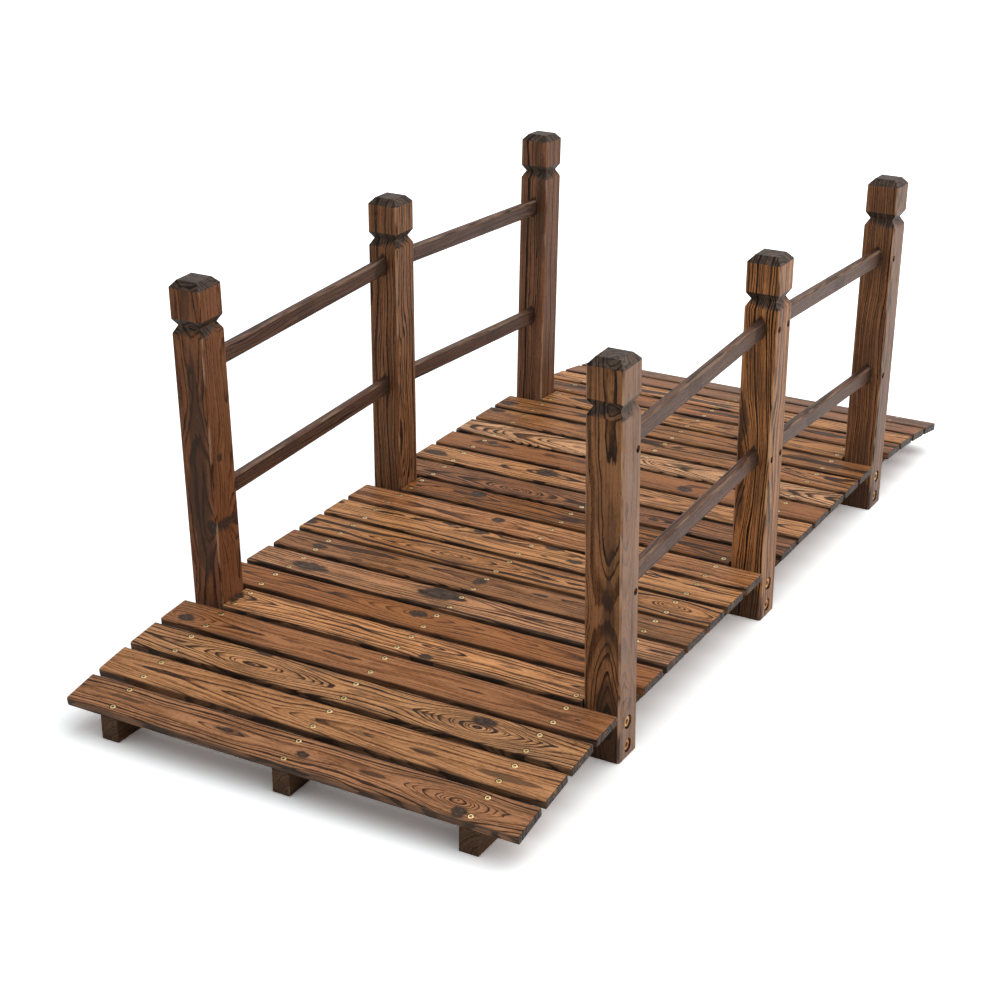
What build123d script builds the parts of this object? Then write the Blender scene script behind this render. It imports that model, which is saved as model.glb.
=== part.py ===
"""Small timber garden footbridge, modelled at its real size in millimetres.

+X runs along the bridge, +Y to the left hand side and +Z up. The origin is on
the ground under the middle of the deck. Three stringers stand on edge on the
ground, level in the middle and sweeping down at both ends. Deck boards lie
across them, and six posts bolt to the outer stringers and carry two rails a side.
"""

import math
import os

from build123d import *

# Deck boards
board_count = 23
board_pitch = 66.0          # centre to centre, along the top of the stringers
board_width = 56.0
board_thick = 12.0
board_ease = 2.0            # radius of the long top edges
deck_width = 664.0
short_rows = (5, 12, 19)    # boards that fit between a pair of posts
seat_gap = 0.1              # a board above its stringer
board_post_gap = 1.5        # the end of a short board from the post

# Stringers
stringer_thick = 26.0
stringer_spread = 265.0     # middle plane of an outer stringer from the centre line
crown_height = 70.0
level_length = 750.0        # straight part of the top edge
end_radius = 1950.0         # sweep of the top edge beyond the straight part

# Posts
post_section = 50.0
post_height = 538.0
post_ease = 2.5             # bevel of the four long edges
end_post_lean = 1.8         # degrees, outward along the bridge
foot_trim = 5.0             # stock below the ground that the level cut takes off
cap_bevel = 9.0             # inset of the bevelled top
cap_drop = 10.0             # height of the bevelled top
cap_block = 41.0            # plain sides of the cap, between bevel and groove
groove_depth = 7.0
groove_upper = 11.0         # height of the groove's upper slope
groove_lower = 12.0         # height of the groove's lower slope

# Rails
rail_thick = 13.0
rail_height = 26.0
rail_ease = 3.0             # bevel of the four long edges
upper_rail = 416.0          # height of a rail's axis at the end posts
lower_rail = 226.0
rail_rise = 22.0            # from an end post up to the middle post
mortise_depth = 18.0
mortise_fit = 0.2           # clearance round a tenon
mortise_end_gap = 1.0       # clearance past the end of a tenon

# Counterbored holes for the bolts, from the posts into the stringers, and for the rails' screws
low_bolt = 16.0
high_bolt = 50.0
bolt_hole = 7.0
bolt_sink = 19.0
bolt_sink_depth = 8.0
bolt_bite = 20.0            # depth of the bolt's hole in the stringer
screw_sink = 9.5
screw_sink_depth = 6.0

half_section = post_section / 2
post_spread = stringer_spread + stringer_thick / 2 + half_section
outer_face = post_spread + half_section
lean = math.radians(end_post_lean)
sides = {"left": 1, "right": -1}
rows = {"near": -1, "middle": 0, "far": 1}
rail_levels = {"upper": upper_rail, "lower": lower_rail}
bolt_levels = (low_bolt, high_bolt)


def top_edge(along):
    """Point and slope on the stringers' top edge, a distance along it from the middle."""
    past = max(abs(along) - level_length / 2, 0)
    turn = past / end_radius
    x = abs(along) - past + end_radius * math.sin(turn)
    z = crown_height - end_radius * (1 - math.cos(turn))
    return math.copysign(x, along), z, math.copysign(turn, along)


def station(board):
    """Distance of a board's middle along the top edge, boards counted from 1 at the near end."""
    return (board - (board_count + 1) / 2) * board_pitch


def post_x(row, height):
    """Axis of a post at a height: it crosses the top edge at its pair of short board ends."""
    deck_x, deck_z, _ = top_edge(station(short_rows[row + 1]))
    return deck_x + row * (height - deck_z) * math.tan(lean)


def rail_axis(row, side, level):
    """Points where a rail's axis meets the axes of its end post and of the middle post."""
    at_end = Vector(post_x(row, rail_levels[level]), side * post_spread, rail_levels[level])
    at_middle = Vector(post_x(0, 0), side * post_spread, rail_levels[level] + rail_rise)
    return at_end, at_middle


def rail_run(start, finish, inset):
    """Plane square to a rail at an inset from its start, and the length left to the other inset."""
    run = finish - start
    heading = run.normalized()
    plane = Plane(origin=start + heading * inset, x_dir=(0, 1, 0), z_dir=heading)
    return plane, run.length - 2 * inset


tenon_root = half_section - mortise_depth       # mortise floor from the post's axis
tenon_middle = half_section - mortise_depth / 2


def make_board(number):
    """A deck board on its stringers, eased along its top edges."""
    x, z, slope = top_edge(station(number))
    along = Vector(math.cos(slope), 0, -math.sin(slope))
    upward = Vector(math.sin(slope), 0, math.cos(slope))
    seat = Vector(x, 0, z) + upward * seat_gap
    if number in short_rows:
        length = 2 * (post_spread - half_section - board_post_gap)
    else:
        length = deck_width
    with BuildPart() as board:
        with BuildSketch(Plane(origin=seat, x_dir=along, z_dir=(0, -1, 0))):
            Rectangle(board_width, board_thick, align=(Align.CENTER, Align.MIN))
        extrude(amount=length / 2, both=True)
        long_edges = board.edges().filter_by(Axis.Y).sort_by(Axis(seat, upward))[-2:]
        fillet(long_edges, radius=board_ease)
    return board.part


def make_stringer(offset):
    """A stringer on edge: straight foot, level crown and ends that sweep down to the ground."""
    end_x, end_z, _ = top_edge(station(board_count) + board_width / 2)
    level_end = level_length / 2
    with BuildPart() as stringer:
        with BuildSketch(Plane.XZ.offset(-offset)):
            with BuildLine():
                Line((-level_end, crown_height), (level_end, crown_height))
                TangentArc((level_end, crown_height), (end_x, end_z), tangent=(1, 0))
                Polyline((end_x, end_z), (end_x, 0), (-end_x, 0), (-end_x, end_z))
                TangentArc((-level_end, crown_height), (-end_x, end_z), tangent=(-1, 0))
            make_face()
        extrude(amount=stringer_thick / 2, both=True)
        if offset:
            side = math.copysign(1, offset)
            face_y = offset + side * stringer_thick / 2
            for row in rows.values():
                for height in bolt_levels:
                    at = Plane(origin=(post_x(row, height), face_y, height), z_dir=(0, side, 0))
                    with Locations(at):
                        Hole(radius=bolt_hole / 2, depth=bolt_bite)
    return stringer.part


def make_post(row, side):
    """A post with a bevelled cap over a V groove, cut level at the foot and mortised for its rails."""
    tilt = row * lean
    upward = Vector(math.sin(tilt), 0, math.cos(tilt))
    foot = Plane(origin=(post_x(row, 0), side * post_spread, 0),
                 x_dir=(math.cos(tilt), 0, -math.sin(tilt)), z_dir=upward)
    waist = post_height - cap_drop - cap_block - groove_upper
    past = post_ease        # how far the cutters reach outside the faces
    groove_reach = (groove_depth + past) / groove_depth
    bevel_reach = (cap_bevel + past) / cap_bevel
    with BuildPart() as post:
        with BuildSketch(foot.offset(-foot_trim)):
            Rectangle(post_section, post_section)
            chamfer(vertices(), length=post_ease)
        extrude(amount=post_height + foot_trim)
        for outward in (foot.x_dir, foot.y_dir, -foot.x_dir, -foot.y_dir):
            cut_plane = Plane(origin=foot.origin, x_dir=outward, z_dir=outward.cross(upward))
            with BuildSketch(cut_plane):
                with BuildLine():
                    Polyline((half_section - groove_depth, waist),
                             (half_section + past, waist + groove_upper * groove_reach),
                             (half_section + past, waist - groove_lower * groove_reach),
                             close=True)
                make_face()
                with BuildLine():
                    Polyline((half_section - cap_bevel, post_height),
                             (half_section + past, post_height - cap_drop * bevel_reach),
                             (half_section + past, post_height),
                             close=True)
                make_face()
            extrude(amount=post_section, both=True, mode=Mode.SUBTRACT)
        split(bisect_by=Plane.XY, keep=Keep.TOP)

        for level in rail_levels:
            for bay in ((-1, 1) if row == 0 else (row,)):
                at_end, at_middle = rail_axis(bay, side, level)
                if row == 0:
                    ends = (at_middle, at_end)
                else:
                    ends = (at_end, at_middle)
                mouth, _ = rail_run(*ends, tenon_root)
                with BuildSketch(mouth):
                    Rectangle(rail_thick + 2 * mortise_fit, rail_height + 2 * mortise_fit)
                    chamfer(vertices(), length=rail_ease)
                extrude(amount=2 * mortise_depth, mode=Mode.SUBTRACT)
                tenon, _ = rail_run(*ends, tenon_middle)
                head = Vector(tenon.origin.X, side * outer_face, tenon.origin.Z)
                with Locations(Plane(origin=head, z_dir=(0, side, 0))):
                    Hole(radius=screw_sink / 2, depth=screw_sink_depth)

        for height in bolt_levels:
            head = (post_x(row, height), side * outer_face, height)
            with Locations(Plane(origin=head, z_dir=(0, side, 0))):
                CounterBoreHole(radius=bolt_hole / 2, counter_bore_radius=bolt_sink / 2,
                                counter_bore_depth=bolt_sink_depth, depth=post_section)
    return post.part


def make_rail(row, side, level):
    """A rail from its mortise in the end post up to its mortise in the middle post."""
    at_end, at_middle = rail_axis(row, side, level)
    tip, length = rail_run(at_end, at_middle, tenon_root + mortise_end_gap)
    with BuildPart() as rail:
        with BuildSketch(tip):
            Rectangle(rail_thick, rail_height)
            chamfer(vertices(), length=rail_ease)
        extrude(amount=length)
    return rail.part


os.makedirs("parts", exist_ok=True)


def write(piece, name):
    """Labels a finished piece and writes it as its own STEP file."""
    piece.label = name
    export_step(piece, f"parts/{name}.step")


for number in range(1, board_count + 1):
    write(make_board(number), f"deck_board_{number:02d}")

write(make_stringer(stringer_spread), "stringer_left")
write(make_stringer(0), "stringer_middle")
write(make_stringer(-stringer_spread), "stringer_right")

for side_name, side in sides.items():
    for row_name, row in rows.items():
        write(make_post(row, side), f"post_{side_name}_{row_name}")
    for row_name in ("near", "far"):
        for level in rail_levels:
            write(make_rail(rows[row_name], side, level), f"rail_{side_name}_{row_name}_{level}")
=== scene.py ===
import math
import random

import bmesh
import bpy
from mathutils import Matrix, Quaternion, Vector, noise


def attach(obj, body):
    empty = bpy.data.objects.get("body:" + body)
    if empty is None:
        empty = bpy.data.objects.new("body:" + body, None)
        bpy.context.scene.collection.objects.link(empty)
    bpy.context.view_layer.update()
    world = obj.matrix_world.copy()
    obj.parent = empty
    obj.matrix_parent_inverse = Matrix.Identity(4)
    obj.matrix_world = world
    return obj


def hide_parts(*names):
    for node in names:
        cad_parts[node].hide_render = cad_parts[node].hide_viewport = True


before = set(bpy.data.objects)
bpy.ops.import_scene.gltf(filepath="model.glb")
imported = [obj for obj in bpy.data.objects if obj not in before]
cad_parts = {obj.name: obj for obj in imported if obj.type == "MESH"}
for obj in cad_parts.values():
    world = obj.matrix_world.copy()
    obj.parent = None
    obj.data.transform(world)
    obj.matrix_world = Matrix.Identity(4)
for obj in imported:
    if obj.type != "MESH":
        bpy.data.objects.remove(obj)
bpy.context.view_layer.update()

MM = 0.001
bpy.context.scene.view_settings.view_transform = "Standard"

# The bridge's own sizes, in millimetres, as its source has them
board_count, board_pitch, board_width, board_thick = 23, 66.0, 56.0, 12.0
deck_width, short_length, seat_gap = 664.0, 553.0, 0.1
short_rows = (5, 12, 19)
stringer_spread, crown_height, level_length, end_radius = 265.0, 70.0, 750.0, 1950.0
post_section, post_spread, outer_face, lean = 50.0, 303.0, 328.0, math.radians(1.8)
rail_levels, rail_rise = {"upper": 416.0, "lower": 226.0}, 22.0
tenon_middle = 16.0
bolt_levels, screw_sink_depth = (16.0, 50.0), 6.0
sides, rows = {"left": 1, "right": -1}, {"near": -1, "middle": 0, "far": 1}

# The screws' and bolts' heads, in millimetres
deck_screw_width, rail_screw_width, bolt_width = 7.6, 8.4, 16.5
deck_screw_spread = 17.5    # from the middle of a board
deck_screw_stray = (1.2, 2.0)   # how far one may stand off across and along its board
deck_screw_depth = 0.25     # top of a head below the board's top
rail_screw_lift = 1.5       # top of a head above the floor of its recess
bolt_depth = 1.8            # top of a head below the post's face


def top_edge(along):
    """Point and slope on the stringers' top edge, a distance along it from the middle."""
    past = max(abs(along) - level_length / 2, 0)
    turn = past / end_radius
    x = abs(along) - past + end_radius * math.sin(turn)
    z = crown_height - end_radius * (1 - math.cos(turn))
    return math.copysign(x, along), z, math.copysign(turn, along)


def station(board):
    """Distance of a board's middle along the top edge, boards counted from 1 at the near end."""
    return (board - (board_count + 1) / 2) * board_pitch


def post_x(row, height):
    """Axis of a post at a height: it crosses the top edge at its pair of short board ends."""
    deck_x, deck_z, _ = top_edge(station(short_rows[row + 1]))
    return deck_x + row * (height - deck_z) * math.tan(lean)


def rail_ends(row, side, height):
    """Where a rail's axis meets the axes of its end post and of the middle post."""
    return (Vector((post_x(row, height), side * post_spread, height)),
            Vector((post_x(0, 0), side * post_spread, height + rail_rise)))


def board_place(number):
    """Middle of a board's underside and its axes: across the board, along its grain, and up."""
    x, z, slope = top_edge(station(number))
    across = Vector((math.cos(slope), 0, -math.sin(slope)))
    upward = Vector((math.sin(slope), 0, math.cos(slope)))
    return Vector((x, 0, z)) + upward * seat_gap, across, Vector((0, 1, 0)), upward


# ---------------------------------------------------------------- node building

def add(tree, kind, *feeds, named=(), **settings):
    """Adds a node, such as "Mix" or "Math ADD". Feeds fill its open inputs in order, and named ones by
    name: each is a value, a socket, or a node whose first open output is meant."""
    kind, _, operation = kind.partition(" ")
    made = tree.nodes.new(kind if "Node" in kind else "ShaderNode" + kind)
    if operation:
        made.operation = operation
    for setting, value in settings.items():
        setattr(made, setting, value)
    ready = [socket for socket in made.inputs if socket.enabled]
    for place, feed in [*enumerate(feeds), *dict(named).items()]:
        if feed is None:
            continue
        socket = ready[place] if isinstance(place, int) else next(s for s in ready if s.name == place)
        if isinstance(feed, bpy.types.Node):
            feed = next(s for s in feed.outputs if s.enabled)
        if isinstance(feed, bpy.types.NodeSocket):
            tree.links.new(feed, socket)
        else:
            socket.default_value = feed
    return made


def linear(code):
    """Linear colour from an sRGB hex code."""
    parts = [int(code[i:i + 2], 16) / 255 for i in (1, 3, 5)]
    return (*(p / 12.92 if p <= 0.04045 else ((p + 0.055) / 1.055) ** 2.4 for p in parts), 1.0)


def group_with(name, inputs, outputs, kind="ShaderNodeTree"):
    """An empty node group and its inputs' sockets. An input is (name, type) or (name, type, default), and
    an output (name, type)."""
    tree = bpy.data.node_groups.new(name, kind)
    for label, form, *start in inputs:
        socket = tree.interface.new_socket(label, in_out="INPUT", socket_type="NodeSocket" + form)
        if start:
            socket.default_value = start[0]
    for label, form in outputs:
        tree.interface.new_socket(label, in_out="OUTPUT", socket_type="NodeSocket" + form)
    return tree, add(tree, "NodeGroupInput").outputs


def new_tree(name):
    """A material of that name with nothing in it yet, and its node tree."""
    made = bpy.data.materials.new(name)
    made.use_nodes = True
    made.node_tree.nodes.clear()
    return made, made.node_tree


def make_knot_group():
    """One branch through the wood. The growth rings close round it, and its core is dark, ringed and
    cracked from the middle outwards."""
    tree, o = group_with("fir knot", [
        ("Grain", "Vector"), ("Place", "Vector"), ("Size", "Vector"), ("Spread", "Vector"), ("Rise", "Float"),
        ("Swell", "Float"), ("Core", "Float"), ("Pith", "Float")],
        [("Swell", "Float"), ("Core", "Float"), ("Pith", "Float")])
    away = add(tree, "VectorMath SUBTRACT", o["Grain"], o["Place"])
    reach = add(tree, "VectorMath LENGTH", add(tree, "VectorMath DIVIDE", away, o["Spread"]))
    fade = add(tree, "Math EXPONENT", add(tree, "Math MULTIPLY", reach.outputs["Value"], -1.0))
    swell = add(tree, "Math SUBTRACT", o["Swell"], add(tree, "Math MULTIPLY", fade, o["Rise"]))
    # the core's outline wavers over about 8 mm across and 17 mm along the grain
    rough = add(tree, "TexNoise", add(tree, "VectorMath MULTIPLY", o["Grain"], (0.12, 0.06, 0.12)),
                named={"Scale": 1.0, "Detail": 3.0, "Roughness": 0.6})
    shift = add(tree, "VectorMath SUBTRACT", rough.outputs["Color"], (0.5, 0.5, 0.5))
    bent = add(tree, "VectorMath MULTIPLY_ADD", shift, (1.3, 1.3, 1.3), add(
        tree, "VectorMath DIVIDE", away, o["Size"]))
    far = add(tree, "VectorMath LENGTH", bent).outputs["Value"]
    core = add(tree, "MapRange", far, 1.25, 0.75, 0.0, 0.96, interpolation_type="SMOOTHSTEP")
    side = add(tree, "SeparateXYZ", bent)
    angle = add(tree, "Math ARCTAN2", add(tree, "Math ADD", side.outputs["X"], side.outputs["Z"]),
                side.outputs["Y"])
    rays = add(tree, "TexNoise", add(tree, "CombineXYZ", add(tree, "Math MULTIPLY", angle, 3.0),
                                     add(tree, "Math MULTIPLY", far, 1.4), o["Rise"]),
               named={"Scale": 1.0, "Detail": 3.0, "Roughness": 0.7})
    # nearly three of the branch's own rings from its pith to its bark
    rings = add(tree, "Math SINE", add(tree, "Math MULTIPLY", far, 17.0))
    pale = add(tree, "Math MULTIPLY_ADD", rings, 0.13, add(tree, "Math MULTIPLY_ADD", rays, 2.2, -0.78))
    shaded = add(tree, "Math MULTIPLY", pale, add(tree, "MapRange", far, 0.65, 1.0, 1.0, 0.25))
    inside = add(tree, "Math GREATER_THAN", core, 0.02)
    pith = add(tree, "Mix", inside, o["Pith"], shaded)
    add(tree, "NodeGroupOutput", swell, add(tree, "Math MAXIMUM", core, o["Core"]), pith)
    return tree


def make_patch_group():
    """A dark patch, pointed along the grain, with a ragged, soft outline: scorch where the flame bit deeper,
    and painted shade where other pieces shadow the wood.
    """
    tree, o = group_with("scorched patch", [
        ("Grain", "Vector"), ("Place", "Vector"), ("Size", "Vector"), ("Strength", "Float"), ("Patch", "Float")],
        [("Patch", "Float")])
    away = add(tree, "VectorMath ABSOLUTE", add(tree, "VectorMath DIVIDE", add(
        tree, "VectorMath SUBTRACT", o["Grain"], o["Place"]), o["Size"]))
    side = add(tree, "SeparateXYZ", away).outputs
    lens = add(tree, "Math MULTIPLY_ADD", side["Y"], side["Y"], add(tree, "Math MAXIMUM", side["X"], side["Z"]))
    # ragged over 4 mm across and 25 mm along the grain
    rough = add(tree, "TexNoise", add(tree, "VectorMath MULTIPLY", o["Grain"], (1 / 4, 1 / 25, 1 / 4)),
                named={"Scale": 1.0, "Detail": 3.0, "Roughness": 0.6})
    ragged = add(tree, "Math MULTIPLY_ADD", add(tree, "Math SUBTRACT", rough, 0.5), 0.95, lens)
    inside = add(tree, "MapRange", ragged, 1.05, 0.70, 0.0, o["Strength"], interpolation_type="SMOOTHSTEP")
    add(tree, "NodeGroupOutput", add(tree, "Math MAXIMUM", inside, o["Patch"]))
    return tree


def make_figure_group():
    """The figure of plain-sawn fir: growth rings about a heart line beside or inside the piece, which show
    as flames where they lie flat to a face, as fine lines near its edges and as arcs on its ends. Grain
    is in millimetres: across the piece, along its grain, and through it."""
    tree, o = group_with("fir figure", [
        ("Grain", "Vector"), ("Facing", "Vector"), ("Heart", "Vector"), ("Slant", "Float"), ("Taper", "Float"),
        ("Wander", "Float"), ("Ring width", "Float"), ("Seed", "Float"), ("Swell", "Float"), ("Core", "Float"),
        ("Pith", "Float"), ("Patch", "Float"), ("Scorch", "Float"), ("Burn", "Float"), ("Wear", "Float"),
        ("Fade", "Float"), ("Pale", "Color"), ("Dark", "Color")],
        [("Color", "Color"), ("Roughness", "Float"), ("Height", "Float")])
    seeded = add(tree, "VectorMath ADD", o["Grain"], add(tree, "VectorMath SCALE", (37.0, 913.0, 71.0),
                                                        named={"Scale": o["Seed"]}))
    # Each wave's size, in millimetres across and along the grain, and its finer detail: how the log bends
    # and its rings sway and ripple, how the soft wood is clouded and streaked, and where smoke lay. The
    # fibres that a brush tears up are some 0.04 mm wide, so the flecks are drawn coarser, to show.
    waves = {name: add(tree, "TexNoise", add(tree, "VectorMath DIVIDE", seeded, (width, length, width)),
                       named={"Scale": 1.0, "Detail": detail, "Roughness": 0.55})
             for name, width, length, detail in (
                 ("drift", 1e6, 210, 1.0), ("sway", 24, 150, 2.0), ("ripple", 5, 48, 1.0),
                 ("jitter", 1.3, 12, 1.0), ("mottle", 13, 70, 3.0), ("streak", 2.4, 110, 3.0),
                 ("fleck", 0.75, 7, 2.0), ("smoke", 20, 80, 3.0))}
    off = {name: add(tree, "Math SUBTRACT", waves[name], 0.5)
           for name in ("sway", "ripple", "jitter", "mottle", "streak", "fleck")}

    # Distance from the heart line, which wanders, and how flat the rings lie to the face
    along = add(tree, "SeparateXYZ", o["Grain"]).outputs["Y"]
    aside = add(tree, "VectorMath SUBTRACT", waves["drift"].outputs["Color"], (0.5, 0.5, 0.5))
    drift = add(tree, "VectorMath SCALE", aside, named={"Scale": add(tree, "Math MULTIPLY", o["Wander"], 4.0)})
    slanted = add(tree, "CombineXYZ", add(tree, "Math MULTIPLY", o["Slant"], along))
    line = add(tree, "VectorMath ADD", slanted, o["Heart"])
    from_heart = add(tree, "VectorMath MULTIPLY", add(tree, "VectorMath ADD", add(
        tree, "VectorMath SUBTRACT", o["Grain"], line), drift), (1.0, 0.0, 1.0))
    radius = add(tree, "VectorMath LENGTH", from_heart).outputs["Value"]
    square = add(tree, "VectorMath DOT_PRODUCT", add(tree, "VectorMath NORMALIZE", from_heart), o["Facing"])
    flat = add(tree, "MapRange", add(tree, "Math ABSOLUTE", square.outputs["Value"]), 0.86, 0.99, 0.0, 1.0,
               interpolation_type="SMOOTHSTEP")

    # Rings of uneven width, each with its own late wood: slow to darken and quick to end
    bent = add(tree, "Math MULTIPLY_ADD", o["Taper"], along, add(tree, "Math ADD", radius, o["Swell"]))
    wavy = add(tree, "Math MULTIPLY_ADD", off["ripple"], 2.0, add(tree, "Math MULTIPLY_ADD", off["sway"], 11.0, bent))
    grown = add(tree, "Math DIVIDE", wavy, o["Ring width"])
    uneven = add(tree, "TexNoise", named={"W": add(tree, "Math MULTIPLY_ADD", grown, 0.42, o["Seed"]), "Scale": 1.0,
                                          "Detail": 0.0}, noise_dimensions="1D")
    years = add(tree, "Math MULTIPLY_ADD", off["jitter"], 0.10, add(tree, "Math MULTIPLY_ADD", uneven, 2.0, grown))
    season = add(tree, "Math FRACT", years)
    luck = add(tree, "SeparateColor", add(tree, "TexWhiteNoise", named={
        "W": add(tree, "Math ADD", add(tree, "Math FLOOR", years), o["Seed"])}, noise_dimensions="1D").outputs["Color"])
    onset = add(tree, "Math MULTIPLY_ADD", luck.outputs["Red"], 0.22, 0.42)
    early = add(tree, "Math MULTIPLY_ADD", flat, -0.14, onset)
    full = add(tree, "Math ADD", add(tree, "Math MULTIPLY_ADD", flat, 0.16, onset), 0.24)
    rise = add(tree, "MapRange", season, early, full, 0.0, 1.0, interpolation_type="SMOOTHSTEP")
    fall = add(tree, "MapRange", season, 0.93, 1.0, 1.0, 0.0, interpolation_type="SMOOTHSTEP")
    # where the outer face is whitened and veiled by a painted sheen, its rings and char wash out
    kept = add(tree, "Math MULTIPLY_ADD", o["Fade"], -0.8, 1.0)
    torched = add(tree, "Math MULTIPLY_ADD", o["Scorch"], 1.05, 0.18)
    bold = add(tree, "Math MULTIPLY_ADD", flat, 0.26, add(tree, "Math MULTIPLY", torched, add(
        tree, "Math MULTIPLY_ADD", luck.outputs["Blue"], 0.85, 0.38)))
    late = add(tree, "Math MULTIPLY", add(tree, "Math MULTIPLY", rise, fall), add(
        tree, "Math MULTIPLY", bold, kept), use_clamp=True)
    browning = add(tree, "Math MULTIPLY", add(tree, "Math MULTIPLY", season, season), add(
        tree, "Math MULTIPLY", fall, add(tree, "Math MULTIPLY", kept, 0.30)))

    # Soft wood, darkened by streaks and short flecks that the brushing left
    specks = add(tree, "MapRange", waves["fleck"], 0.55, 0.72, 0.0, 0.34)
    soft = add(tree, "Math MULTIPLY_ADD", off["mottle"], 0.8, add(
        tree, "Math MULTIPLY_ADD", off["streak"], 1.1, add(tree, "Math MULTIPLY_ADD", off["fleck"], 0.7, 0.10)))
    tone = add(tree, "Math MULTIPLY_ADD", late, 0.95, add(
        tree, "Math ADD", browning, add(tree, "Math ADD", soft, specks)))
    shade = add(tree, "VectorMath MULTIPLY", o["Pale"], (0.56, 0.49, 0.42))
    light = add(tree, "Mix", add(tree, "MapRange", tone, 0.0, 0.5, 0.0, 1.0), o["Pale"], shade, data_type="RGBA")
    wood = add(tree, "Mix", add(tree, "MapRange", tone, 0.5, 1.0, 0.0, 1.0), light, o["Dark"], data_type="RGBA")

    # The torch: char where the late wood lies flat, a brown haze between
    edge = add(tree, "Math MULTIPLY_ADD", o["Scorch"], -0.22, 0.72)
    torch = add(tree, "MapRange", waves["smoke"], edge, add(tree, "Math ADD", edge, 0.16), 0.0, 1.0,
                interpolation_type="SMOOTHSTEP")
    bite = add(tree, "Math MULTIPLY", late, add(tree, "Math MULTIPLY_ADD", flat, 0.75, 0.25))
    on_late = add(tree, "Math MULTIPLY", add(tree, "Math MULTIPLY", torch, kept), add(tree, "Math ADD", bite, 0.12))
    # patches darken it to char as well: scorch, and painted shade where other pieces shadow the wood
    deep = add(tree, "Math MAXIMUM", on_late, add(tree, "Math MULTIPLY", o["Patch"], add(
        tree, "Math MULTIPLY_ADD", late, 0.35, 0.68)), use_clamp=True)
    haze = add(tree, "Math MULTIPLY", add(tree, "MapRange", add(tree, "Math ADD", waves["smoke"], off["streak"]), 0.46,
                                          0.72, 0.0, 0.55), o["Scorch"])
    smoked = add(tree, "Mix", haze, wood, linear("#5E432F"), data_type="RGBA")
    grey = add(tree, "Math ADD", off["streak"], add(tree, "Math ADD", waves["jitter"], off["mottle"]))
    char_and_shade = add(tree, "Mix", grey, linear("#20150F"), linear("#4C3A2F"), data_type="RGBA")
    marked = add(tree, "Mix", deep, smoked, char_and_shade, data_type="RGBA")
    branch = add(tree, "Mix", o["Pith"], linear("#1E1713"), linear("#6B574A"), data_type="RGBA")
    knotted = add(tree, "Mix", o["Core"], marked, branch, data_type="RGBA")
    # scorched ends, side faces and rims; on boards the side faces' darkness is partly painted shade for the gaps
    # between them
    uneven_burn = add(tree, "Math MULTIPLY_ADD", off["mottle"], 1.4, add(
        tree, "Math MULTIPLY_ADD", off["streak"], 1.2, 1.0))
    burn_and_shade_share = add(tree, "Math MULTIPLY", add(tree, "Math MULTIPLY", o["Burn"], 1.2), uneven_burn, use_clamp=True)
    ash = add(tree, "Math MULTIPLY_ADD", rise, add(tree, "Math MULTIPLY_ADD", flat, 0.42, -0.55), add(
        tree, "Math ADD", waves["ripple"], add(tree, "Math MULTIPLY_ADD", off["fleck"], 0.8, 0.02)), use_clamp=True)
    soot_and_shade = add(tree, "Mix", ash, linear("#1A1310"), linear("#655347"), data_type="RGBA")
    burnt_and_shaded = add(tree, "Mix", burn_and_shade_share, knotted, soot_and_shade, data_type="RGBA")

    # What handling wore bare, partly a painted highlight on the arrises, the surface's shine and relief, and
    # what the sun whitened, with a painted sheen greying the outer face
    chance = add(tree, "MapRange", add(tree, "Math ADD", waves["mottle"], off["ripple"]), 0.42, 0.66, 0.0, 1.0)
    # where the arrises are worn bare and pale, this is partly a painted highlight along them
    bare = add(tree, "Mix", 0.45, o["Pale"], linear("#C9AB8E"), data_type="RGBA")
    rubbed_and_highlit = add(tree, "Mix", add(tree, "Math MULTIPLY", o["Wear"], chance), burnt_and_shaded, bare, data_type="RGBA")
    rough = add(tree, "Math MULTIPLY_ADD", off["fleck"], 0.30, add(tree, "Math MULTIPLY_ADD", deep, 0.12, 0.44))
    height = add(tree, "Math MULTIPLY_ADD", late, 0.8, add(tree, "Math MULTIPLY_ADD", off["fleck"], 0.5, add(
        tree, "Math MULTIPLY", o["Core"], -0.4)))
    # painted sheen: besides the sun's whitening, the outer face is made paler and greyer, a reflection painted into its
    # colour
    bleach_and_sheen = add(tree, "Math MULTIPLY", o["Fade"], add(tree, "Math MULTIPLY_ADD", add(
        tree, "Math ADD", off["streak"], off["mottle"]), -1.6, 0.62), use_clamp=True)
    clouded = add(tree, "Math MULTIPLY_ADD", add(tree, "Math ADD", off["streak"], off["sway"]), 2.2, 0.45)
    grey_and_sheen = add(tree, "Mix", clouded, linear("#776C67"), linear("#A18471"), data_type="RGBA")
    bleached_and_sheened = add(tree, "Mix", bleach_and_sheen, rubbed_and_highlit, grey_and_sheen, data_type="RGBA")
    add(tree, "NodeGroupOutput", bleached_and_sheened, rough, height)
    return tree


knot_group, patch_group, figure_group = make_knot_group(), make_patch_group(), make_figure_group()


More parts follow.
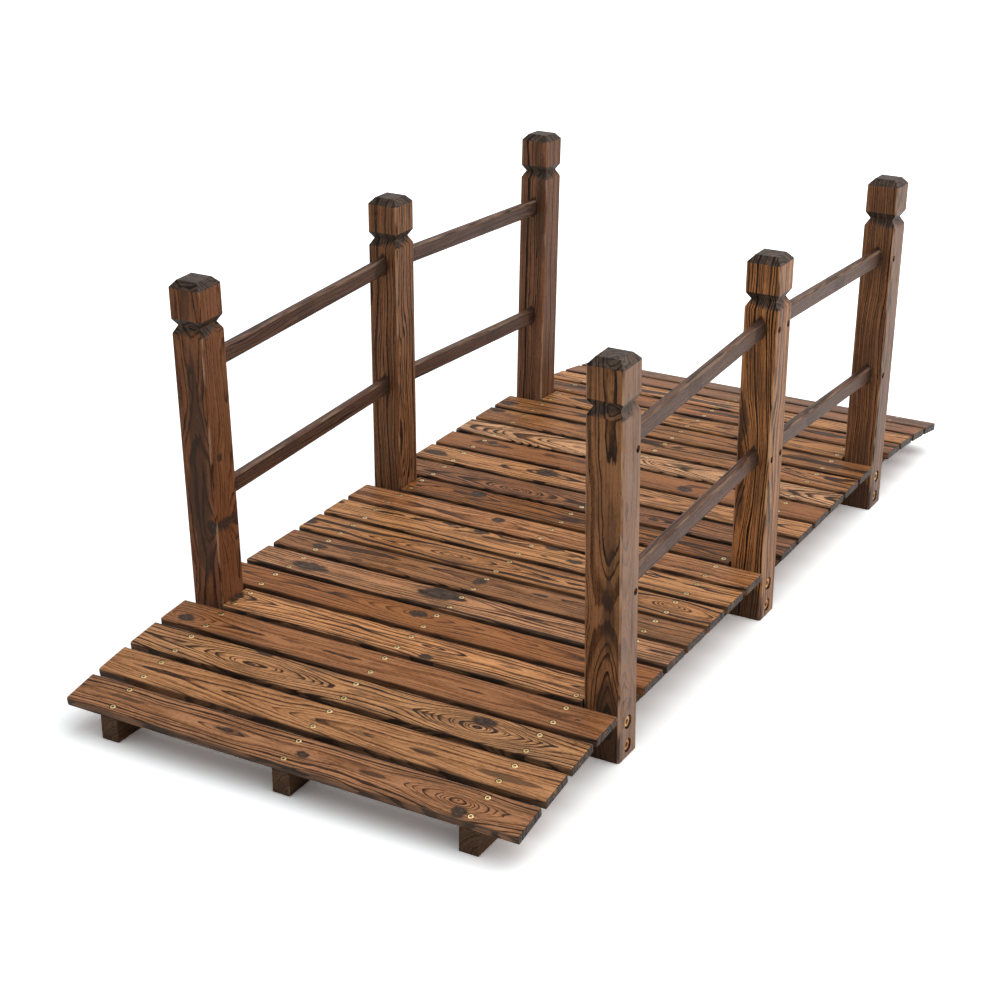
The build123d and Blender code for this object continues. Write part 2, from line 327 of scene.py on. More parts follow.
def torched_fir(name, place, axes, heart, slant=0.0, taper=0.0, wander=5.0, ring=3.0, seed=0.0, scorch=0.5, knots=(),
                patches=(), pale="#B07A4C", dark="#3A2418", ends=0.9, flanks_and_shade=0.0, rims=(30.0, 0.0),
                skin=(0.0, 60.0), wear_and_highlight=0.35, end_wear_and_highlight=0.0, faded_and_sheen=0.0, sheen=0.3):
    """Torched and brushed fir under a thin satin lacquer: warm soft wood between raised dark rings.
    Place and axes lay the log's own millimetres on the piece, and heart, slant and taper set where its
    heart line runs and how its rings widen along it. A knot is (across, along, half width, half length,
    rise of the rings round it, their spread across and along), and one on the side face has "side" last.
    A patch darkens the wood: scorch where the flame bit deeper, and painted shade where other pieces shadow
    it. It is (across, along, half width, half length, strength) and may name its face last, "front", "back" or
    "side", and skin is the depth through the piece at which patches lie and how deep they go. Ends,
    flanks_and_shade and rims are how far the end grain, the long side faces and the strip inside the long
    arrises are scorched, the side faces' darkness on boards partly painted shade for the gaps between them;
    wear_and_highlight and end_wear_and_highlight are how far the long arrises and the end grain's are worn
    bright, partly a painted highlight; and faded_and_sheen is how far the outer face is whitened by the sun and
    greyed by a painted sheen. Pale and dark colour the soft and the late wood, scorch is how much of it the
    torch blackened, and sheen is how strongly the lacquer shines."""
    made, tree = new_tree(name)
    at = add(tree, "TexCoord").outputs
    turn = tuple(Matrix(axes).transposed().to_euler())
    grain = add(tree, "Mapping", at["Object"], tuple(place), turn, (MM, MM, MM), vector_type="TEXTURE").outputs[0]
    facing = add(tree, "Mapping", at["Normal"], None, turn, vector_type="TEXTURE")
    swell, core, pith, patch = 0.0, 0.0, 0.0, 0.0
    for across, along, half_width, half_length, rise, wide, long, *face in knots:
        spot, size, spread = (across, along, 0.0), (half_width, half_length, 60.0), (wide, long, 90.0)
        if face:
            spot, size, spread = spot[::-1], size[::-1], spread[::-1]
        knot = add(tree, "Group", node_tree=knot_group, named={
            "Grain": grain, "Place": spot, "Size": size, "Spread": spread, "Rise": rise, "Swell": swell,
            "Core": core, "Pith": pith}).outputs
        swell, core, pith = knot["Swell"], knot["Core"], knot["Pith"]
    depth, bite = skin
    for across, along, half_width, half_length, strength, *face in patches:
        spot, size = (across, along, -depth if "back" in face else depth), (half_width, half_length, bite)
        if "side" in face:
            spot, size = spot[::-1], size[::-1]
        patch = add(tree, "Group", node_tree=patch_group, named={
            "Grain": grain, "Place": spot, "Size": size, "Strength": strength, "Patch": patch}).outputs["Patch"]
    square = add(tree, "SeparateXYZ", add(tree, "VectorMath ABSOLUTE", facing)).outputs
    sideways = add(tree, "Math MULTIPLY", add(tree, "SeparateXYZ", facing), math.copysign(1, faded_and_sheen))
    ends_burnt = add(tree, "MapRange", square["Y"], 0.22, 0.54, 0.0, ends)
    # long side faces: scorched, and on boards partly painted shade for the gaps between them
    flanks_burnt_and_shaded = add(tree, "MapRange", square["X"], 0.62, 0.97, 0.0, flanks_and_shade)
    outward = add(tree, "Math ABSOLUTE", add(tree, "SeparateXYZ", grain).outputs["X"])
    rim, rim_burn, rim_fade = *rims, 9.0
    rims_burnt = add(tree, "MapRange", outward, rim - rim_fade, rim, 0.0, rim_burn,
                     interpolation_type="SMOOTHSTEP")
    burn_and_shade = add(tree, "Math MAXIMUM", add(tree, "Math MAXIMUM", ends_burnt, flanks_burnt_and_shaded), rims_burnt)
    # arrises made pale: worn bright, and partly a painted highlight
    arris = add(tree, "Math MAXIMUM", *(
        add(tree, "MapRange", add(tree, "Math MULTIPLY", square["X"], square[other]), 0.30, 0.48, 0.0, rubbing)
        for other, rubbing in (("Z", wear_and_highlight), ("Y", end_wear_and_highlight))))
    # outer faces: whitened by the sun, and greyed by a painted sheen
    side = add(tree, "MapRange", sideways, 0.6, 0.95, 0.0, abs(faded_and_sheen))
    figure = add(tree, "Group", node_tree=figure_group, named={
        "Grain": grain, "Facing": facing, "Heart": (heart[0], 0.0, heart[1]), "Slant": slant, "Taper": taper,
        "Wander": wander, "Ring width": ring, "Seed": seed, "Swell": swell, "Core": core, "Pith": pith,
        "Patch": patch, "Scorch": scorch, "Burn": burn_and_shade, "Wear": arris, "Fade": side, "Pale": linear(pale),
        "Dark": linear(dark)}).outputs
    # brushing leaves the late wood up to half a millimetre proud
    bump = add(tree, "Bump", named={"Strength": 0.6, "Distance": 0.5 * MM, "Height": figure["Height"]})
    add(tree, "OutputMaterial", add(tree, "BsdfPrincipled", named={
        "Base Color": figure["Color"], "Roughness": figure["Roughness"], "Normal": bump, "IOR": 1.5,
        "Specular IOR Level": sheen}))
    return made


# ---------------------------------------------------------------- wood pieces

sharp_from, arris_from, flat_within = math.radians(40), math.radians(32), math.radians(1)
weld_distance = 1e-6


def mesh_piece(name, bm, material):
    """A finished mesh object at the origin."""
    mesh = bpy.data.meshes.new(name)
    bm.to_mesh(mesh)
    bm.free()
    piece = bpy.data.objects.new(name, mesh)
    bpy.context.scene.collection.objects.link(piece)
    if material:
        mesh.materials.append(material)
    return piece


def settle(piece):
    """Makes a piece's modifiers part of its mesh."""
    graph = bpy.context.evaluated_depsgraph_get()
    graph.update()
    mesh = bpy.data.meshes.new_from_object(piece.evaluated_get(graph))
    piece.modifiers.clear()
    old, piece.data = piece.data, mesh
    bpy.data.meshes.remove(old)
    mesh.name = piece.name
    return piece


def dress(piece, node):
    """Evens the shading over flat faces, and lets the piece stand for its solid."""
    piece.data.shade_smooth()
    piece.data.set_sharp_from_angle(angle=sharp_from)
    even = piece.modifiers.new("even faces", "WEIGHTED_NORMAL")
    even.keep_sharp = True
    settle(piece)
    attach(piece, "root")
    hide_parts(node)


def deck_board(number, material):
    """A deck board with worn arrises: a rounded section carried along its length, eased at both ends."""
    start, across, along, upward = board_place(number)
    half = (short_length if number in short_rows else deck_width) / 2
    end_ease, section_step = 0.9, 7
    top_round, top_wear, least_round = 2.6, 0.8, 2.1
    foot_round, foot_wear = 0.9, 0.3
    turns = (0, math.pi / 4, math.pi / 2)
    ends = [(-half + end_ease * (1 - math.cos(a)), end_ease * (1 - math.sin(a))) for a in turns]
    steps = round(2 * (half - end_ease) / section_step)
    middle = [(-half + end_ease + 2 * (half - end_ease) * k / steps, 0.0) for k in range(1, steps)]
    bm = bmesh.new()
    loops = []
    for spot, inset in ends + middle + [(-spot, inset) for spot, inset in reversed(ends)]:
        loop = []
        for corner, (side, top, first) in enumerate(((1, 0, -90), (1, 1, 0), (-1, 1, 90), (-1, 0, 180))):
            # dents about 23 and 6 mm long, different on every board and corner
            worn = noise.noise(Vector((spot / 23, number * 7.1, corner * 3.3)))
            worn += 0.5 * noise.noise(Vector((spot / 6, number * 5.3, corner * 9.1)))
            radius = max(top_round + top_wear * worn, least_round) if top else foot_round + foot_wear * worn
            middle_x = side * (board_width / 2 - radius - 1.7 * inset)
            middle_z = board_thick - radius - inset if top else radius + inset
            parts = 4 if top else 2
            for t in range(parts + 1):
                angle = math.radians(first + 90 * t / parts)
                x, z = middle_x + radius * math.cos(angle), middle_z + radius * math.sin(angle)
                loop.append(bm.verts.new((start + across * x + along * spot + upward * z) * MM))
        loops.append(loop)
    count = len(loops[0])
    for near, far in zip(loops, loops[1:]):
        for k in range(count):
            bm.faces.new((near[k], far[k], far[(k + 1) % count], near[(k + 1) % count]))
    bm.faces.new(loops[0])
    bm.faces.new(reversed(loops[-1]))
    bmesh.ops.recalc_face_normals(bm, faces=bm.faces)
    return mesh_piece(f"deck_board_{number:02d}_timber", bm, material)


def screw_spots(number):
    """Where a board's screws meet its top: two over each stringer."""
    start, across, along, upward = board_place(number)
    rng = random.Random(number)
    for offset in (-stringer_spread, 0, stringer_spread):
        for side in (-1, 1):
            x = side * deck_screw_spread + rng.uniform(-deck_screw_stray[0], deck_screw_stray[0])
            y = offset + rng.uniform(-deck_screw_stray[1], deck_screw_stray[1])
            yield start + across * x + along * y + upward * board_thick, upward


def countersinks(number):
    """Shallow cones that the screw heads have crushed into a board's top."""
    play, flare, depth = 0.1, 1.4, 2.4
    bm = bmesh.new()
    for spot, upward in screw_spots(number):
        turn = upward.to_track_quat("Z", "Y").to_matrix().to_4x4()
        bmesh.ops.create_cone(bm, cap_ends=True, segments=24, radius1=(deck_screw_width / 2 + play) * MM,
                              radius2=(deck_screw_width / 2 + flare) * MM, depth=depth * MM,
                              matrix=Matrix.Translation(spot * MM) @ turn)
    return mesh_piece(f"countersinks_{number:02d}", bm, None)


# Each board: soft wood, heart line across and below it, slant, taper, ring width, scorch, knots, patches.
# A knot of 0.3 by 0.3 mm is a branch that ends below the face, and only parts the rings there.
board_looks = {
    1: ("#B6825C", 0, -7, 0.0, 0.0, 4.6, 0.75,
        ((0, 94, 3, 9, 9, 10, 34), (-2, -18, 5.5, 10, 7, 8, 22), (0, -237, 1.2, 2, 38, 20, 40),
         (-18, -247, 9, 10, 7, 11, 26)),
        ((2, 258, 4, 34, 0.9), (0, 92, 6, 34, 0.9), (0, -118, 5, 24, 1), (-16, 190, 3, 22, 0.6),
         (-25, -60, 3, 34, 0.7))),
    2: ("#C48E61", -4, -7, 0.022, 0.062, 4.8, 0.28, (),
        ((0, 275, 3, 26, 0.7), (-6, -2, 4, 18, 0.6), (-5, -64, 5, 24, 0.8), (-5, -152, 5.5, 26, 0.9),
         (-8, -272, 7, 52, 1))),
    3: ("#CC9667", 0, -9, 0.0, 0.0, 4.1, 1.05,
        ((-3, 150, 2, 7, 34, 26, 80), (-3, -187, 2, 4, 48, 24, 46), (13, -190, 9, 18, 8, 13, 34),
         (27, 148, 6, 15, 7, 10, 24)),
        ((-5, 265, 3, 24, 0.8), (-2, 205, 3.5, 20, 0.7), (-1, 42, 3, 12, 0.6), (0, -12, 5, 20, 0.7),
         (-3, -100, 3.5, 30, 0.8))),
    4: ("#AF7850", -2, -15, 0.0, 0.0, 5.8, 0.22,
        ((-11, 300, 9, 13, 26, 16, 44), (0, 75, 0.3, 0.3, 8, 9, 85), (-1, -292, 1.5, 4, 4, 7, 18)),
        ((0, 135, 2.5, 26, 0.8), (0, 2, 2.5, 16, 0.8), (-26, 200, 3, 60, 0.6))),
    5: ("#DD9E69", 3, -8, 0.0, 0.0, 4.9, 1.0,
        ((0, 273, 15, 8, 22, 18, 30), (-21, -45, 6, 10, 6, 10, 22), (4, -48, 0.3, 0.3, 9, 10, 46)),
        ((5, 70, 3, 18, 0.7), (5, -158, 3.5, 20, 0.8), (1, 150, 2, 34, 0.5), (-25, -150, 4, 70, 0.6))),
    6: ("#A96F43", 5, -12, 0.0, 0.0, 5.4, 0.2,
        ((9, 25, 9, 13, 36, 20, 44), (6, 265, 0.3, 0.3, 6, 9, 46), (6, -140, 0.3, 0.3, 7, 9, 48)),
        ((6, -195, 2.5, 26, 0.6),)),
    7: ("#CA9369", 4, -10, 0.0, 0.0, 5.2, 1.1,
        ((-4, 238, 13, 30, 7, 14, 40), (10, 30, 17, 34, 13, 18, 46)),
        ((0, -139, 3.5, 24, 0.8), (-25, -150, 4, 170, 0.8))),
    8: ("#A7754E", 10, -14, 0.0, 0.02, 4.5, 0.95,
        ((-5, 265, 6, 14, 8, 10, 26), (5, 3, 11, 10, 8, 12, 26), (9, -93, 4, 14, 4, 8, 20)),
        ((-17, 194, 4, 14, 0.8), (-17, 134, 4, 12, 0.8))),
    9: ("#C78C5A", -3, -12, 0.0, 0.0, 4.6, 0.7,
        ((-3, 330, 9, 14, 8, 12, 28), (-3, 82, 0.3, 0.3, 26, 18, 60), (3, -262, 0.3, 0.3, 40, 17, 40)),
        ((-2, -76, 3.5, 16, 0.9), (-1, 268, 3, 12, 0.6))),
    10: ("#CF9562", 14, -17, 0.0, 0.0, 5.8, 0.6,
         ((26, 140, 6, 12, 6, 9, 22), (24, 86, 7, 12, 6, 9, 22), (24, -35, 8, 14, 7, 10, 24),
          (-3, -84, 6, 13, 5, 9, 22), (-5, 148, 2, 5, 3, 6, 16), (-7, -36, 2, 6, 3, 6, 16)),
         ((20, 40, 4, 18, 0.7), (24, 255, 4, 22, 0.6))),
    11: ("#C78C5F", -6, -20, 0.0, 0.0, 6.2, 0.3, ((6, 84, 9, 11, 9, 12, 28),),
         ((9, 44, 3, 16, 0.9), (-26, 180, 3, 50, 0.7))),
    12: ("#A26737", 0, -13, 0.0, 0.0, 5.2, 1.25,
         ((13, 160, 12, 13, 9, 12, 28), (-3, 238, 0.3, 0.3, 8, 9, 26)),
         ((-9, 157, 3.5, 18, 1), (-2, -60, 3, 30, 0.5), (-8, -215, 5, 10, 0.7))),
    13: ("#A36F4C", -8, -14, 0.0, 0.0, 4.6, 1.3, ((-10, 117, 1, 2, 40, 18, 44), (-8, -118, 5, 9, 7, 10, 24)),
         ((-22, 75, 4, 14, 0.6),)),
    14: ("#D39866", 0, -11, 0.0, 0.0, 5.8, 1.05,
         ((9, 109, 15, 19, 18, 18, 44), (-4, 308, 10, 24, 6, 12, 36), (3, -315, 0.3, 0.3, 7, 10, 26)),
         ((5, -115, 3, 12, 0.7),)),
    15: ("#A26D46", 10, -18, 0.0, 0.0, 6.8, 0.32,
         ((13, 246, 7, 8, 6, 10, 24), (-8, -110, 12, 13, 6, 12, 28)),
         ((23, 175, 3, 12, 0.7),)),
    16: ("#DFAA7D", -1, -18, 0.0, 0.15, 5.2, 1.05, ((0, -26, 0.3, 0.3, 10, 10, 18),),
         ((0, 280, 4, 16, 0.8), (0, 210, 4, 14, 0.8), (0, 115, 5, 16, 0.8), (7, -68, 7, 24, 0.9))),
    17: ("#B98052", 14, -14, 0.0, 0.04, 5.2, 1.35, ((18, 315, 8, 16, 8, 12, 28),),
         ((15, 155, 3, 16, 0.6), (15, -120, 3, 18, 0.7))),
    18: ("#A77247", 0, -18, 0.0, 0.0, 6.8, 1.0, ((-10, 315, 11, 12, 12, 14, 30),), ((5, -222, 11, 36, 1),)),
    19: ("#C68A54", 4, -16, 0.0, 0.06, 5.6, 0.85, (), ((10, -190, 4, 20, 0.6),)),
    20: ("#B67545", 6, -14, 0.0, 0.0, 6.2, 1.35, ((10, -205, 5, 12, 6, 10, 24),), ()),
    21: ("#D0925A", -6, -14, 0.0, 0.03, 6.5, 0.8, ((-10, 160, 6, 9, 7, 12, 26),), ()),
    22: ("#935F38", 2, -14, 0.0, 0.0, 6.5, 0.5, ((4, 90, 5, 11, 8, 12, 26),), ()),
    23: ("#875A38", -2, -14, 0.0, -0.04, 6.5, 0.5, ((6, 200, 5, 9, 8, 12, 26), (-6, -230, 6, 10, 9, 14, 30)), ()),
}

for number, (pale, heart, depth, slant, taper, ring, scorch, knots, patches) in board_looks.items():
    start, *axes = board_place(number)
    # the heart's depth counts from the board's top, its knots and patches from its middle
    finish = torched_fir(f"torched fir, satin lacquer, deck board {number:02d}", start * MM, axes,
                         (heart, depth + board_thick), slant, taper, wander=4.0, ring=ring, seed=number * 1.37,
                         scorch=scorch, knots=knots, patches=patches, pale=pale, dark="#3B2519", ends=0.95,
                         flanks_and_shade=0.6, rims=(board_width / 2 - 1, 0.15), wear_and_highlight=0.2, sheen=0.06)
    piece, cutter = deck_board(number, finish), countersinks(number)
    cut = piece.modifiers.new("countersinks", "BOOLEAN")
    cut.operation, cut.solver, cut.object = "DIFFERENCE", "EXACT", cutter
    settle(piece)
    bpy.data.objects.remove(cutter)
    dress(piece, f"deck_board_{number:02d}")


def from_cad(node, material, ease):
    """A softened copy of a solid: its flat faces made whole and every arris rounded."""
    bm = bmesh.new()
    bm.from_mesh(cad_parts[node].data)
    bmesh.ops.remove_doubles(bm, verts=bm.verts, dist=weld_distance)
    bmesh.ops.dissolve_limit(bm, angle_limit=flat_within, verts=bm.verts, edges=bm.edges)
    bmesh.ops.recalc_face_normals(bm, faces=bm.faces)
    piece = mesh_piece(f"{node}_timber", bm, material)
    soft = piece.modifiers.new("eased arrises", "BEVEL")
    soft.width, soft.segments, soft.limit_method, soft.angle_limit = ease * MM, 3, "ANGLE", arris_from
    settle(piece)
    dress(piece, node)


# Each post: heart line across and through it, taper, ring width, scorch, fading and painted sheen of its
# outer face, soft wood, knots, patches
post_looks = {
    ("left", "near"): (4, -18, 0.0, 3.6, 0.22, 0.4, "#845639",
                       ((19, 194, 9, 11, 16, 14, 34), (8, 292, 6, 7, 8, 8, 18, "side")),
                       ((4, 300, 15, 165, 1.0), (-1, 235, 20, 100, 1.0), (3, 165, 17, 56, 0.9), (2, 520, 8, 44, 0.8))),
    ("left", "middle"): (70, 30, 0.0, 3.4, 0.75, 0.6, "#966846", ((-8, 110, 3, 12, 5, 10, 26, "side"),),
                         ((-9, 320, 4, 70, 0.5, "side"), (-6, 150, 3, 60, 0.5), (12, 90, 9, 50, 0.5))),
    ("left", "far"): (34, 50, 0.0, 4.2, 0.9, 0.6, "#885F46", (), ((16, 430, 10, 90, 0.8), (4, 515, 4, 30, 0.6))),
    # on each right post, the widest patch, at the foot of its front, is painted shade under the deck
    ("right", "near"): (9, 14, 0.0, 5.2, 0.65, 0.6, "#976946",
                        ((10, 203, 0.3, 0.3, -30, 40, 60), (8, 62, 0.3, 0.3, 16, 16, 30),
                         (-4, 75, 6, 9, 14, 12, 26, "side")),
                        ((10, 310, 8, 60, 0.6), (9, 205, 9, 70, 0.9), (8, 80, 18, 44, 1.0), (0, 20, 40, 52, 1.2),
                         (-6, 190, 2.5, 60, 0.9, "side"), (14, 346, 3, 16, 1.0, "side"))),
    ("right", "middle"): (62, 30, 0.0, 4.6, 1.1, 0.3, "#B47B4C", ((-7, 240, 0.3, 0.3, -34, 20, 90),),
                          ((-17, 300, 9, 34, 1.0), (-15, 176, 7, 40, 0.8), (0, 14, 40, 52, 1.1))),
    ("right", "far"): (75, 25, 0.0, 2.7, 1.05, 0.5, "#8D6244", (), ((14, 430, 6, 60, 0.5), (0, 10, 40, 50, 1.0))),
}
for side_name, side in sides.items():
    for row_name, row in rows.items():
        across, deep, taper, ring, scorch, faded_and_sheen, pale, knots, patches = post_looks[side_name, row_name]
        upright = Vector((math.sin(row * lean), 0, math.cos(row * lean)))
        # painted shade round its mortises, which are higher in a middle post and on one face only of an end post
        lift = rail_rise if row == 0 else 0
        patches += tuple((0.5, height + lift + 1, 10.5, 20, 1.3, face)
                         for face, bare in (("front", -1), ("back", 1)) if row != bare
                         for height in rail_levels.values())
        axes = (Vector((0, -1, 0)), upright, Vector((0, -1, 0)).cross(upright))
        finish = torched_fir(f"torched fir, satin lacquer, post {side_name} {row_name}",
                             Vector((post_x(row, 0), side * post_spread, 0)) * MM, axes, (across, deep),
                             taper=taper, wander=4.0, ring=ring, seed=3.1 * side + 7.3 * row + 20, scorch=scorch,
                             knots=knots, patches=patches, pale=pale, dark="#20140D", ends=1.0,
                             skin=(post_section / 2, 13.0), wear_and_highlight=0.9, faded_and_sheen=-side * faded_and_sheen, sheen=0.08)
        from_cad(f"post_{side_name}_{row_name}", finish, 1.0)
    for row_name in ("near", "far"):
        for level, height in rail_levels.items():
            at_end, at_middle = rail_ends(rows[row_name], side, height)
            heading = (at_middle - at_end).normalized()
            length = (at_middle - at_end).length - post_section
            rng = random.Random(f"{side_name}{row_name}{level}")
            # painted shade at both ends, where it enters the posts, and a fainter dark patch along it
            patches = tuple((0, post_section / 2 + spot, 40, reach, strength) for spot, reach, strength in (
                (0, rng.uniform(14, 34), 1.25), (length, rng.uniform(20, 40), 1.25),
                (length * rng.uniform(0.3, 0.7), 26, 0.5)))
            axes = (Vector((0, 1, 0)), heading, Vector((0, 1, 0)).cross(heading))
            finish = torched_fir(f"torched fir, satin lacquer, rail {side_name} {row_name} {level}",
                                 at_end * MM, axes, (rng.uniform(-30, 30), rng.uniform(-40, -20)), wander=4.0, ring=3.4,
                                 seed=rng.uniform(0, 50), scorch=0.6, patches=patches, pale="#624435", dark="#241812",
                                 wear_and_highlight=0.5, sheen=0.14)
            from_cad(f"rail_{side_name}_{row_name}_{level}", finish, 0.9)

for name, offset in (("left", stringer_spread), ("middle", 0), ("right", -stringer_spread)):
    finish = torched_fir(f"torched fir, sawn, stringer {name}", Vector((0, offset, 0)) * MM,
                         (Vector((0, -1, 0)), Vector((1, 0, 0)), Vector((0, 0, 1))), (30, -10), ring=3.6,
                         seed=offset / 7, scorch=0.15, pale="#5C432D", dark="#241810", ends=0.25, wear_and_highlight=0.9,
                         end_wear_and_highlight=0.9, sheen=0.06)
    from_cad(f"stringer_{name}", finish, 1.8)


# ---------------------------------------------------------------- screws and bolts

def zinc_yellow(name, bright, dull):
    """Yellow zinc plate on steel: gold with a soft shine, dulled where lacquer ran over it, and painted black in
    the driver's recess, as the shade that falls there."""
    made, tree = new_tree(name)
    # patches of lacquer about 2 mm across
    cloud = add(tree, "TexNoise", add(tree, "TexCoord").outputs["Object"], named={"Scale": 0.5 / MM, "Detail": 2.0})
    recess_shade = add(tree, "Attribute", attribute_name="recess").outputs["Fac"]
    dulled = add(tree, "Attribute", attribute_name="dulled").outputs["Fac"]
    patch = add(tree, "Math ADD", add(tree, "Math ADD", cloud, dulled), -0.55, use_clamp=True)
    plate = add(tree, "Mix", patch, linear(bright), linear(dull), data_type="RGBA")
    add(tree, "OutputMaterial", add(tree, "BsdfPrincipled", named={
        # painted shade: black and without shine towards the floor of the driver's recess
        "Base Color": add(tree, "Mix", recess_shade, plate, linear("#15100C"), data_type="RGBA"),
        "Roughness": add(tree, "Math MULTIPLY_ADD", patch, 0.25, 0.30),
        "Metallic": add(tree, "Math MULTIPLY_ADD", recess_shade, -0.9, 1.0)}))
    return made


def driven_head(name, outline, first_angle, dome, recess):
    """A screw or bolt head one unit wide, its top at the origin's height: a rim, a flat top and a recess.
    Dome is how far the rim lies below the top, and recess how deep the driver's socket is."""
    rim, crown, socket_floor = 0.5, 0.43, 0.8
    bm = bmesh.new()
    recess_shade = bm.verts.layers.float.new("recess")
    around = 24
    step = around // len(outline)
    spins = [first_angle + 2 * math.pi * k / around for k in range(around)]
    low = [bm.verts.new((rim * math.cos(a), rim * math.sin(a), -dome)) for a in spins]
    high = [bm.verts.new((crown * math.cos(a), crown * math.sin(a), 0)) for a in spins]
    lip = [bm.verts.new((x, y, 0)) for x, y in outline]
    floor = [bm.verts.new((socket_floor * x, socket_floor * y, -recess)) for x, y in outline]
    # the socket's floor is marked to carry the recess's painted shade
    for vert in floor:
        vert[recess_shade] = 1.0
    for k in range(around):
        bm.faces.new((low[k], low[(k + 1) % around], high[(k + 1) % around], high[k]))
    for k in range(len(outline)):
        after = (k + 1) % len(outline)
        bm.faces.new([high[(k * step + j) % around] for j in range(step + 1)] + [lip[after], lip[k]])
        bm.faces.new((lip[k], lip[after], floor[after], floor[k]))
    bm.faces.new(floor)
    bmesh.ops.recalc_face_normals(bm, faces=bm.faces)
    if sum(face.normal.z for face in bm.faces) < 0:
        bmesh.ops.reverse_faces(bm, faces=bm.faces)
    return mesh_piece(name, bm, None)


def make_fastener_tree():
    """Sets a head on every point, square to the point's facing and turned at random about it."""
    tree, o = group_with("driven fasteners", [
        ("Geometry", "Geometry"), ("Head", "Object"), ("Head width", "Float", 0.008), ("Finish", "Material"),
        ("Seed", "Int", 1)], [("Geometry", "Geometry")], kind="GeometryNodeTree")
    facing = add(tree, "GeometryNodeInputNamedAttribute", "facing", data_type="FLOAT_VECTOR")
    square = add(tree, "FunctionNodeAlignRotationToVector", named={"Vector": facing.outputs[0]}, axis="Z")
    head = add(tree, "GeometryNodeObjectInfo", o["Head"], transform_space="ORIGINAL")
    placed = add(tree, "GeometryNodeInstanceOnPoints", o["Geometry"], None, head.outputs["Geometry"], None, None,
                 square, add(tree, "CombineXYZ", o["Head width"], o["Head width"], o["Head width"]))
    spin = add(tree, "FunctionNodeRandomValue", named={"Min": 0.0, "Max": 6.283, "Seed": o["Seed"]}, data_type="FLOAT")
    turned = add(tree, "GeometryNodeRotateInstances", placed, None,
                 add(tree, "FunctionNodeEulerToRotation", add(tree, "CombineXYZ", 0.0, 0.0, spin)))
    luck = add(tree, "FunctionNodeRandomValue", named={
        "Min": 0.0, "Max": 0.7, "Seed": add(tree, "Math ADD", o["Seed"], 5.0)}, data_type="FLOAT")
    marked = add(tree, "GeometryNodeStoreNamedAttribute", turned, None, "dulled", luck, data_type="FLOAT",
                 domain="INSTANCE")
    add(tree, "NodeGroupOutput", add(tree, "GeometryNodeSetMaterial", add(
        tree, "GeometryNodeRealizeInstances", marked), None, o["Finish"]))
    return tree


fastener_tree = make_fastener_tree()


def fasteners(name, spots, head, width, finish, seed):
    """One mesh of like fasteners from their places and facings, in millimetres."""
    bm = bmesh.new()
    for spot, _ in spots:
        bm.verts.new(spot * MM)
    piece = mesh_piece(name, bm, finish)
    facing = piece.data.attributes.new("facing", "FLOAT_VECTOR", "POINT")
    for k, (_, way) in enumerate(spots):
        facing.data[k].vector = way
    modifier = piece.modifiers.new("fasteners", "NODES")
    modifier.node_group = fastener_tree
    wanted = {"Head": head, "Head width": width * MM, "Finish": finish, "Seed": seed}
    for socket in fastener_tree.interface.items_tree:
        if socket.in_out == "INPUT" and socket.name in wanted:
            modifier[socket.identifier] = wanted[socket.name]
    settle(piece)
    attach(piece, "root")


# The driver's sockets, as shares of the head's width: a cross in the screws, a hexagon in the bolts
arm, slot_half, key_reach = 0.30, 0.10, 0.24
inner = slot_half * 1.4
cross = [(x * c - y * s, x * s + y * c) for c, s in ((1, 0), (0, 1), (-1, 0), (0, -1))
         for x, y in ((arm, -slot_half), (arm, slot_half), (inner, inner))]
hexagon = [(key_reach * math.cos(math.radians(60 * k)), key_reach * math.sin(math.radians(60 * k)))
           for k in range(6)]
screw_head = driven_head("screw_head", cross, first_angle=math.radians(-15), dome=0.045, recess=0.22)
bolt_head = driven_head("bolt_head", hexagon, first_angle=0.0, dome=0.10, recess=0.25)
gold = zinc_yellow("yellow zinc plated steel, countersunk screws", "#DCC493", "#A48C5A")
aged_gold = zinc_yellow("yellow zinc plated steel, bolts", "#D6A868", "#9A5A48")

deck_spots = [(spot - upward * deck_screw_depth, upward) for number in range(1, board_count + 1)
              for spot, upward in screw_spots(number)]
rail_spots, bolt_spots = [], []
for side in sides.values():
    outward = Vector((0, side, 0))
    for row in rows.values():
        for height in bolt_levels:
            bolt_spots.append((Vector((post_x(row, height), side * (outer_face - bolt_depth), height)), outward))
        for height in rail_levels.values():
            for bay in ((-1, 1) if row == 0 else (row,)):
                at_end, at_middle = rail_ends(bay, side, height)
                near, far = (at_middle, at_end) if row == 0 else (at_end, at_middle)
                spot = near + (far - near).normalized() * tenon_middle
                top = side * (outer_face - screw_sink_depth + rail_screw_lift)
                rail_spots.append((Vector((spot.x, top, spot.z)), outward))
fasteners("deck_screws", deck_spots, screw_head, deck_screw_width, gold, seed=3)
fasteners("rail_screws", rail_spots, screw_head, rail_screw_width, aged_gold, seed=7)
fasteners("post_bolts", bolt_spots, bolt_head, bolt_width, aged_gold, seed=11)
for head in (screw_head, bolt_head):
    bpy.data.objects.remove(head)


# ---------------------------------------------------------------- studio

floor_reach, floor_drop, floor_gain = 20, 0.0002, 0.8
near_floor, far_floor = 1.0, 2.6
world_light = 0.55


def plain_sight(tree):
    """One where a surface is seen, straight or by way of metal or glass, and zero where it only lights others."""
    seen = add(tree, "LightPath").outputs
    direct = add(tree, "Math MAXIMUM", seen["Is Camera Ray"], seen["Is Glossy Ray"])
    return add(tree, "Math MAXIMUM", direct, seen["Is Transmission Ray"])


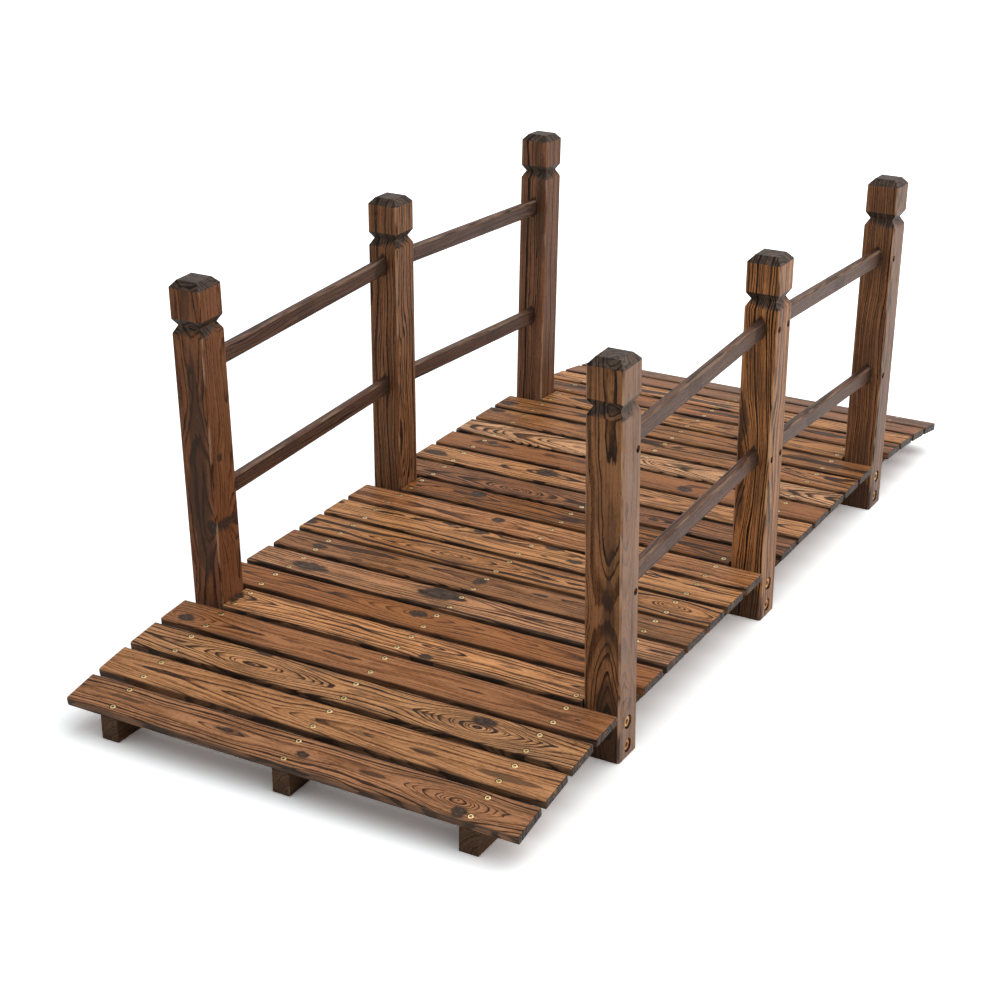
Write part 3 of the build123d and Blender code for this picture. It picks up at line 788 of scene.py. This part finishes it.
def plain_paper():
    """Seamless white paper: matt, lit by the lamps where it is near, and plain white further off. To the
    camera it is a shade whiter, so that only the bridge's own soft shadow is left on it."""
    made, tree = new_tree("studio floor, matt white paper")
    spot = add(tree, "TexCoord").outputs["Object"]
    # faint clouds a third of a metre wide
    tone = add(tree, "TexNoise", spot, named={"Scale": 3.0})
    in_sight = plain_sight(tree)
    away = add(tree, "MapRange", add(tree, "VectorMath LENGTH", spot).outputs["Value"], near_floor, far_floor, 0.0, 0.7)
    white = add(tree, "Mix", tone, linear("#E5E7E8"), linear("#E7E9EA"), data_type="RGBA")
    gain = add(tree, "Math MULTIPLY_ADD", in_sight, floor_gain, 1.0)
    lit = add(tree, "BsdfDiffuse", add(tree, "VectorMath SCALE", white, named={"Scale": gain}))
    glow = add(tree, "Emission", (1, 1, 1, 1), add(tree, "Math MULTIPLY", in_sight, away))
    add(tree, "OutputMaterial", add(tree, "AddShader", lit, glow))
    return made


bm = bmesh.new()
bmesh.ops.create_grid(bm, x_segments=8, y_segments=8, size=floor_reach)
floor = mesh_piece("studio_floor", bm, plain_paper())
floor.data.transform(Matrix.Translation((0, 0, -floor_drop)))

world = bpy.data.worlds.new("studio")
bpy.context.scene.world = world
world.use_nodes = True
sky = world.node_tree
sky.nodes.clear()
add(sky, "OutputWorld", add(sky, "Background", (1, 1, 1, 1), add(
    sky, "MapRange", plain_sight(sky), 0.0, 1.0, world_light, 1.0)))


def softbox(name, place, aim, size, power):
    """A lamp in a cloth box, from its place, what it points at and its two sides in metres, and its watts."""
    lamp = bpy.data.lights.new(name, "AREA")
    lamp.shape, lamp.size, lamp.size_y, lamp.energy = "RECTANGLE", size[0], size[1], power
    holder = bpy.data.objects.new(name, lamp)
    bpy.context.scene.collection.objects.link(holder)
    holder.location = place
    holder.rotation_euler = (Vector(aim) - Vector(place)).to_track_quat("-Z", "Y").to_euler()


softbox("overhead softbox", (0.8, -0.6, 2.7), (0, 0, 0.1), (3.6, 3.6), 61)
softbox("side softbox", (-0.5, -2.6, 1.0), (0.0, 0, 0.15), (1.8, 1.2), 12.5)

lens = bpy.data.cameras.new("camera")
camera = bpy.data.objects.new("camera", lens)
bpy.context.scene.collection.objects.link(camera)
bpy.context.scene.camera = camera
yaw, pitch, roll = math.radians(29.214), math.radians(-23.249), math.radians(0.152)
sight = Vector((math.cos(pitch) * math.cos(yaw), math.cos(pitch) * math.sin(yaw), math.sin(pitch)))
camera.location = (-2.4556, -1.2583, 1.2951)
camera.rotation_mode = "QUATERNION"
camera.rotation_quaternion = sight.to_track_quat("-Z", "Y") @ Quaternion((0, 0, 1), roll)
lens.sensor_width, lens.lens = 36.0, 71.97
